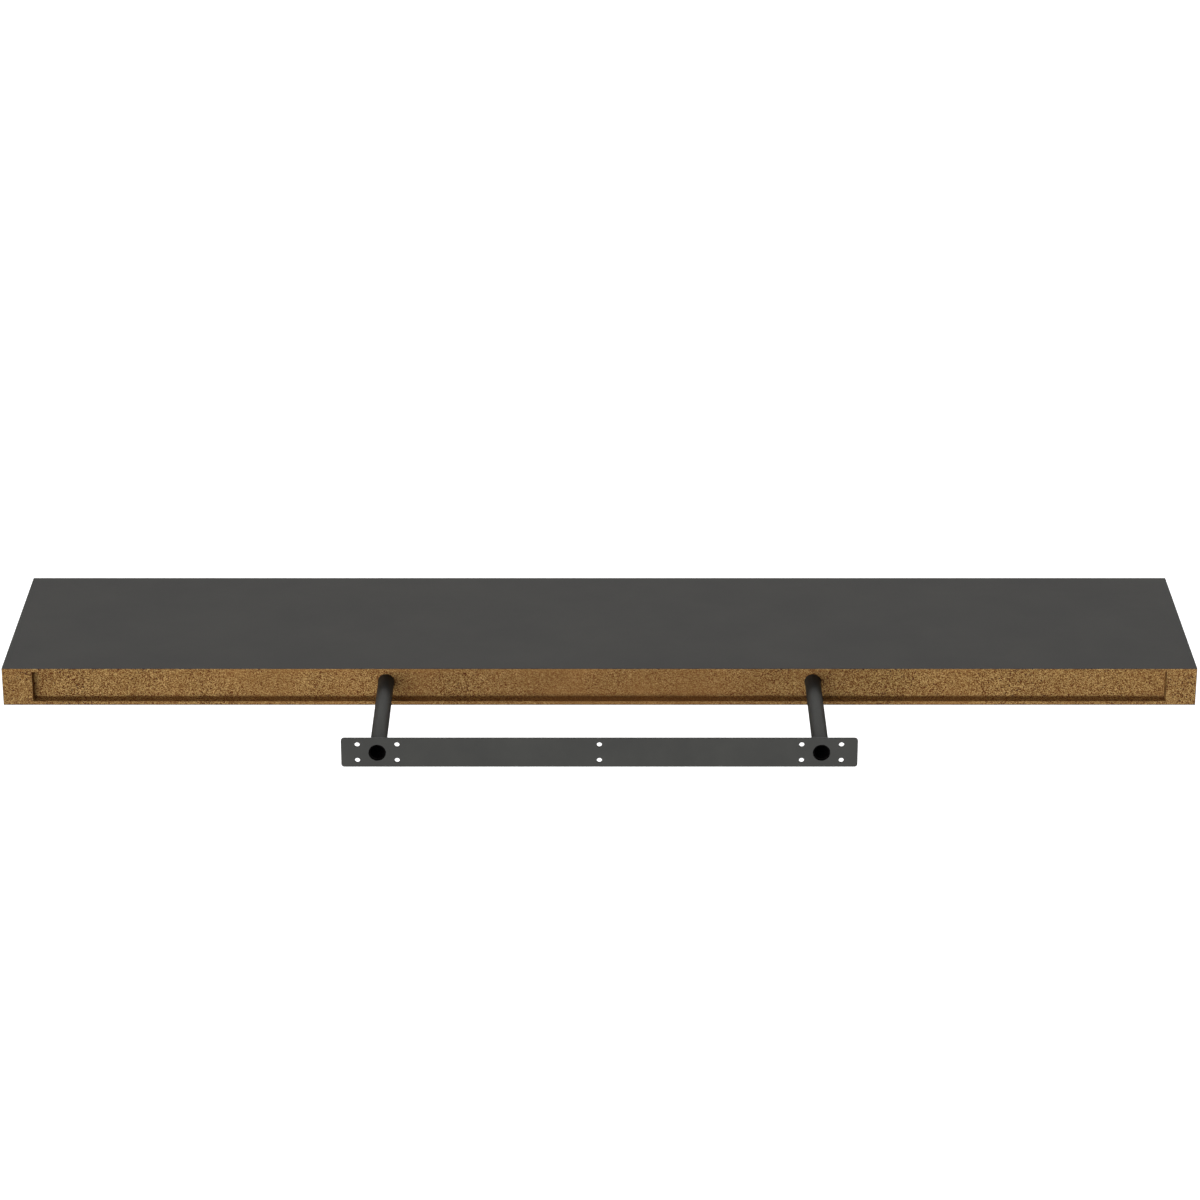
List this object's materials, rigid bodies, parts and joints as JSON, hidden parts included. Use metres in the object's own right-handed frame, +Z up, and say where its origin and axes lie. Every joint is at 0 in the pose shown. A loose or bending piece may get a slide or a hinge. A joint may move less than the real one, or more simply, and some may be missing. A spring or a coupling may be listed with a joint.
{
  "type": "floating wall shelf",
  "caption": "Long hollow-core floating shelf that slides onto a concealed steel wall strip with welded tube rods.",
  "frame": {"origin": "centre of the wall plate's flat wall face, between its two middle screw holes", "axes": "+X along the shelf to the right as seen from the room, +Y into the wall, +Z up; the shelf reaches towards -Y"},
  "size_m": [1.2, 0.398, 0.04],
  "materials": {
    "coated_steel": "satin powder coat",
    "coated_weld": "satin powder coat over a weld bead",
    "raw_board": "raw sawn fibreboard",
    "kraft_paper": "matt paper",
    "dark_laminate": "fine satin laminate"
  },
  "bodies": {
    "bracket": {"bracket_plate": "coated_steel", "rod_left": "coated_steel", "rod_right": "coated_steel", "rod_weld_left": "coated_weld", "rod_weld_right": "coated_weld"},
    "shelf": {"top_panel": "raw_board", "bottom_panel": "raw_board", "end_stile_left": "raw_board", "end_stile_right": "raw_board", "front_rail": "raw_board", "back_rail": "raw_board", "rod_block_left": "raw_board", "rod_block_right": "raw_board", "core_left": "kraft_paper", "core_centre": "kraft_paper", "core_right": "kraft_paper", "top_laminate": "dark_laminate", "bottom_laminate": "dark_laminate", "edge_band_front": "dark_laminate", "edge_band_left": "dark_laminate", "edge_band_right": "dark_laminate"}
  },
  "joints": [
    {"name": "shelf_slide", "type": "slide", "parent": "bracket", "child": "shelf", "axis": [0, 1, 0], "range_m": [-0.041, 0.158]}
  ]
}
